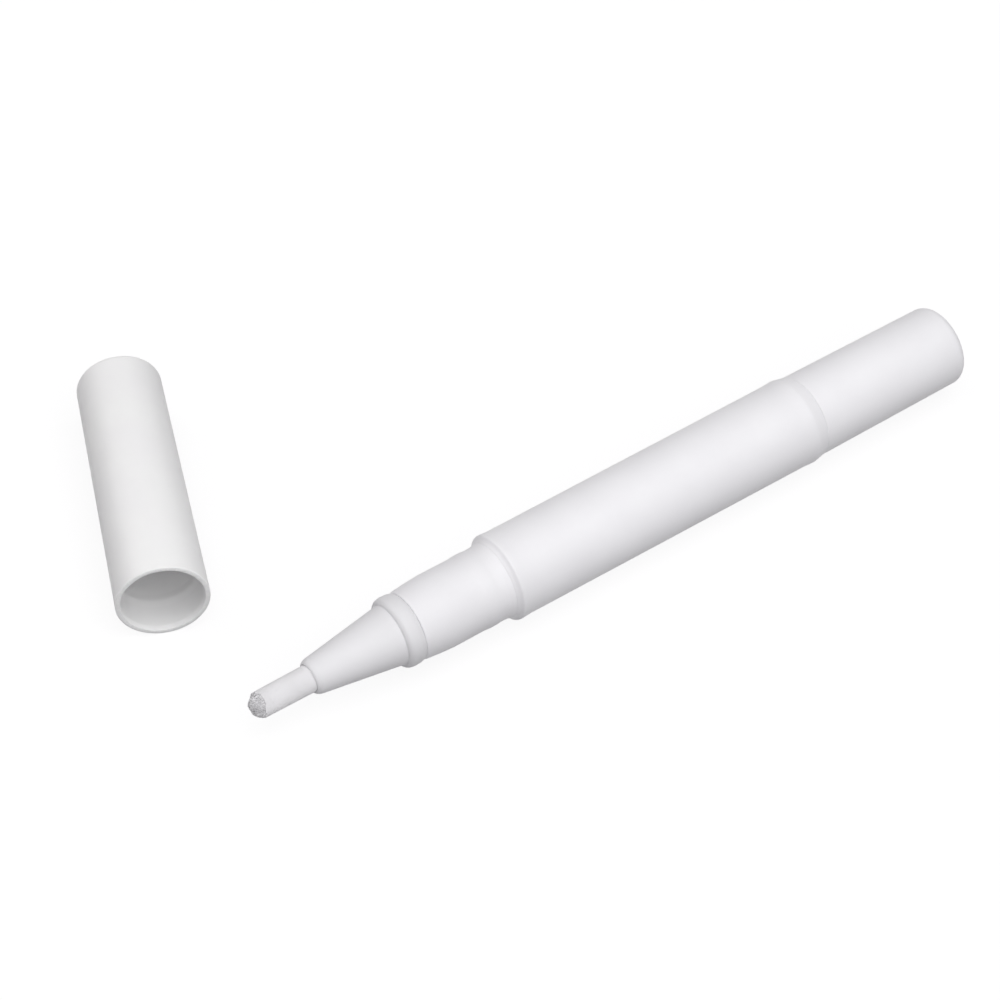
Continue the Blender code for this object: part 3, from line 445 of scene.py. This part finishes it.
knob = turned("knob_cover", [
    (67.6, 0.0, 0.0), (67.6, 2.50, 0.05), (65.1, 2.50, 0.05), (65.1, 3.25, 0.05),
    (67.6, 3.25, 0.0), (67.6, 4.02, 0.0), (46.615, 4.02, 0.05), (46.615, 5.32, 0.03),
    (69.0, 5.16, 1.30), (69.0, 0.75, 0.05), (68.9, 0.65, 0.03), (68.9, 0.0, 0.0)],
    pen_place, shell_plastic, closed=False)
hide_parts("knob_shell")
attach(knob, "knob")


# Cap and its soft liner
# The cap is a long drafted tube with a closed end, a bead inside that snaps over the neck,
# and a soft cup pressed in at the bottom. Its wall lets light through; the bore's paler white is
# painted light that stands in for the light coming through the wall.

CAP_AZIMUTH = math.radians(66.7)
CAP_MOUTH = (-0.0337, 0.0199)
CAP_LENGTH = 0.03693
CAP_RADIUS = 0.0057
CAP_DRAFT = 0.0004
CAP_MILKINESS = 0.8

cap_tilt = math.atan(CAP_DRAFT / CAP_LENGTH)
cap_mouth = Vector((pen_front.x + CAP_MOUTH[0], pen_front.y + CAP_MOUTH[1],
                    CAP_RADIUS * math.cos(cap_tilt)))
cap_place = (Matrix.Translation(cap_mouth) @ Matrix.Rotation(CAP_AZIMUTH, 4, "Z")
             @ Matrix.Rotation(cap_tilt, 4, "Y"))
cap_plastic = moulded_plastic(
    "white_cap_plastic", (0.93, 0.922, 0.935), (0.91, 0.902, 0.915), 0.42,
    turn=CAP_AZIMUTH, milkiness=CAP_MILKINESS)
# Painted light: the bore is the cap's own plastic in a paler colour, standing in for light passing
# through the thin wall.
cap_bore_painted_light = moulded_plastic(
    "white_bore_painted_light", (0.975, 0.97, 0.975), (0.96, 0.955, 0.96), 0.42,
    turn=CAP_AZIMUTH, milkiness=CAP_MILKINESS)

cap = turned("cap_cover", [
    (35.73, 0.0, 0.0), (35.73, 4.263, 0.3), (16.03, 4.476, 0.1), (15.93, 4.75, 0.1),
    (5.6, 4.95, 1.5), (4.6, 4.83, 1.5), (3.6, 4.95, 1.5), (0.6, 4.95, 0.4), (0.0, 5.11, 0.06),
    (0.0, 5.70, 0.14), (36.93, 5.30, 0.65), (36.93, 0.75, 0.05), (36.83, 0.65, 0.03),
    (36.83, 0.0, 0.0)], cap_place, cap_plastic, closed=False)
cap.data.materials.append(cap_bore_painted_light)
# The inward-facing faces take the paler painted-light colour.
cap_axis = cap_place.to_3x3() @ Vector((1.0, 0.0, 0.0))
for face in cap.data.polygons:
    spoke = face.center - cap_mouth
    if face.normal.dot(spoke - cap_axis * spoke.dot(cap_axis)) < 0.0:
        face.material_index = 1
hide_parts("cap_shell")
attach(cap, "cap")

liner_plastic = moulded_plastic(
    "soft_liner_plastic", (0.93, 0.925, 0.935), (0.90, 0.895, 0.905), 0.5,
    turn=CAP_AZIMUTH, milkiness=CAP_MILKINESS)
liner = turned("cap_cup", [
    (35.03, 0.0, 0.0), (35.03, 2.49, 0.3), (26.53, 2.49, 0.5), (17.93, 3.77, 0.3),
    (17.33, 3.52, 0.3), (16.53, 3.635, 0.2), (16.13, 3.943, 0.12), (16.13, 4.425, 0.12),
    (19.13, 4.393, 0.1), (19.13, 4.111, 0.1), (26.53, 3.09, 0.5), (35.63, 3.09, 0.3),
    (35.63, 0.0, 0.0)], cap_place, liner_plastic, closed=False)
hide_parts("cap_liner")
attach(liner, "cap")


# Working parts inside the pen
# None of them shows from outside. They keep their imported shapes: nylon feed parts in the
# nozzle, a rubber ring on the plug, a soft piston, and the turning gear with its steel coil.

natural_nylon = moulded_plastic("natural_nylon", (0.76, 0.77, 0.78), (0.72, 0.73, 0.74), 0.35)
gear_plastic = moulded_plastic("gear_acetal", (0.80, 0.80, 0.77), (0.76, 0.76, 0.73), 0.4)
piston_plastic = moulded_plastic(
    "soft_piston_plastic", (0.74, 0.75, 0.76), (0.70, 0.71, 0.72), 0.45)
seal_rubber = moulded_plastic(
    "black_seal_rubber", (0.022, 0.022, 0.024), (0.032, 0.032, 0.034), 0.6)
spring_steel = moulded_plastic(
    "drawn_spring_steel", (0.56, 0.56, 0.58), (0.48, 0.48, 0.50), 0.28, grain_height=0.000001)
spring_steel.node_tree.nodes["Principled BSDF"].inputs["Metallic"].default_value = 1.0
inner_finishes = {
    "brush_ferrule": natural_nylon, "feed_tube": natural_nylon, "piston": piston_plastic,
    "screw_rod": gear_plastic, "thread_nut": gear_plastic, "click_ring": gear_plastic,
    "drive_sleeve": gear_plastic, "neck_seal": seal_rubber, "click_spring": spring_steel}
for node_name, finish in inner_finishes.items():
    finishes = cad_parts[node_name].data.materials
    finishes.clear()
    finishes.append(finish)


# Table, light and camera
# The pen and cap lie on a plain white sheet in a pale room, under one broad soft lamp and
# two weak fills. The sheet throws little light back up, keeps the shadows and shows white.

TABLE_HALF = 2.0
PAPER_COLOUR = (0.15, 0.147, 0.152, 1.0)
PAPER_LIFT = 0.88
ROOM_LIGHT = 0.26
WHITE = (1.0, 1.0, 1.0, 1.0)
table_corners = [(-TABLE_HALF, -TABLE_HALF, 0.0), (TABLE_HALF, -TABLE_HALF, 0.0),
                 (TABLE_HALF, TABLE_HALF, 0.0), (-TABLE_HALF, TABLE_HALF, 0.0)]
table_mesh = bpy.data.meshes.new("white_table")
table_mesh.from_pydata(table_corners, [], [(0, 1, 2, 3)])
table = bpy.data.objects.new("white_table", table_mesh)
bpy.context.scene.collection.objects.link(table)


def seen_directly(tree):
    """1 for rays from the camera and for reflections and refractions, 0 for diffuse light."""
    path = add_node(tree, "ShaderNodeLightPath").outputs
    sharp = add_node(tree, "ShaderNodeMath", {
        0: path["Is Glossy Ray"], 1: path["Is Transmission Ray"]}, operation="MAXIMUM")
    return add_node(tree, "ShaderNodeMath", {
        0: path["Is Camera Ray"], 1: sharp.outputs[0]}, operation="MAXIMUM").outputs[0]


table_paper = bpy.data.materials.new("white_table_paper")
table_paper.use_nodes = True
paper_tree = table_paper.node_tree
paper = paper_tree.nodes["Principled BSDF"]
paper.inputs["Base Color"].default_value = PAPER_COLOUR
paper.inputs["Roughness"].default_value = 0.9
paper.inputs["Specular IOR Level"].default_value = 0.0
paper.inputs["Emission Color"].default_value = WHITE
lift = add_node(paper_tree, "ShaderNodeMath", {
    0: seen_directly(paper_tree), 1: PAPER_LIFT}, operation="MULTIPLY")
paper_tree.links.new(lift.outputs[0], paper.inputs["Emission Strength"])
table_mesh.materials.append(table_paper)

world = bpy.data.worlds.new("pale_room")
world.use_nodes = True
bpy.context.scene.world = world
room_tree = world.node_tree
room = room_tree.nodes["Background"]
room.inputs["Color"].default_value = WHITE
room_level = add_node(room_tree, "ShaderNodeMapRange", {
    "Value": seen_directly(room_tree), "To Min": ROOM_LIGHT, "To Max": 1.0})
room_tree.links.new(room_level.outputs[0], room.inputs["Strength"])


def soft_lamp(name, place, target, width, power, colour=(1.0, 1.0, 1.0)):
    """A square area lamp of a width in metres and a power in watts, facing its target."""
    lamp = bpy.data.lights.new(name, "AREA")
    lamp.shape = "SQUARE"
    lamp.size = width
    lamp.energy = power
    lamp.color = colour
    holder = bpy.data.objects.new(name, lamp)
    bpy.context.scene.collection.objects.link(holder)
    holder.location = place
    holder.rotation_euler = (Vector(target) - Vector(place)).to_track_quat("-Z", "Y").to_euler()


soft_lamp("overhead_softbox", (0.0, -0.30, 0.58), (0.0, 0.0, 0.0), 0.8, 3.6)
soft_lamp("rear_left_fill", (-0.32, 0.48, 0.44), (0.0, 0.0, 0.0), 0.5, 1.1, (1.0, 0.985, 0.975))
soft_lamp("low_front_fill", (-0.28, -0.62, 0.13), (-0.04, -0.01, 0.0), 0.5, 1.15)

view_lens = bpy.data.cameras.new("photo_view")
view_lens.sensor_width = 36.0
view_lens.lens = 137.0
photo_view = bpy.data.objects.new("photo_view", view_lens)
photo_view.location = (-0.18793, -0.26964, 0.34315)
photo_view.rotation_euler = (math.radians(42.798), 0.0, math.radians(-35.4))
bpy.context.scene.collection.objects.link(photo_view)
bpy.context.scene.camera = photo_view
bpy.context.scene.view_settings.view_transform = "Standard"
